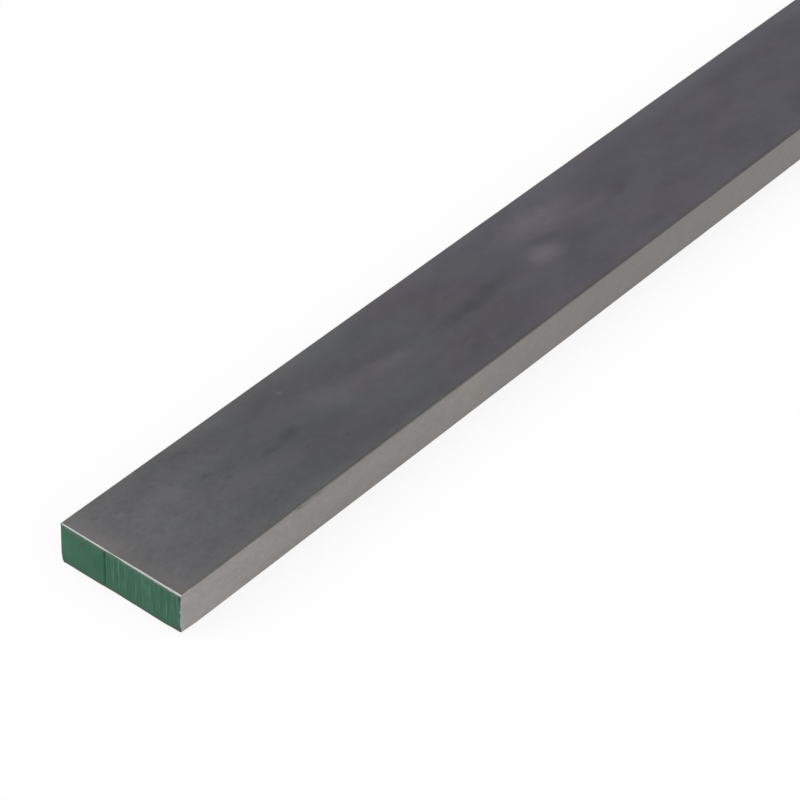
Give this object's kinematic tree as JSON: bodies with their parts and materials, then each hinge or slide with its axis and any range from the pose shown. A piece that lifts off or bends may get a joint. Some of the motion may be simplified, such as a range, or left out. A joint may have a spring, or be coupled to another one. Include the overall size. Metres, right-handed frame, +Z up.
{
  "type": "flat bar",
  "caption": "Straight length of precision ground steel flat bar with lightly broken edges and colour painted on one sawn end.",
  "frame": {"origin": "middle of the broad face that the bar rests on", "axes": "+X along the bar away from the painted end, +Y across the width, +Z up through the thickness"},
  "size_m": [0.5001, 0.025, 0.008],
  "materials": {
    "ground_steel": "satin ground, grinding marks along the length",
    "end_paint": "thin semi-matt brushed paint over saw marks"
  },
  "bodies": {
    "root": {"flat_bar": "ground_steel", "end_paint": "end_paint"}
  },
  "joints": []
}
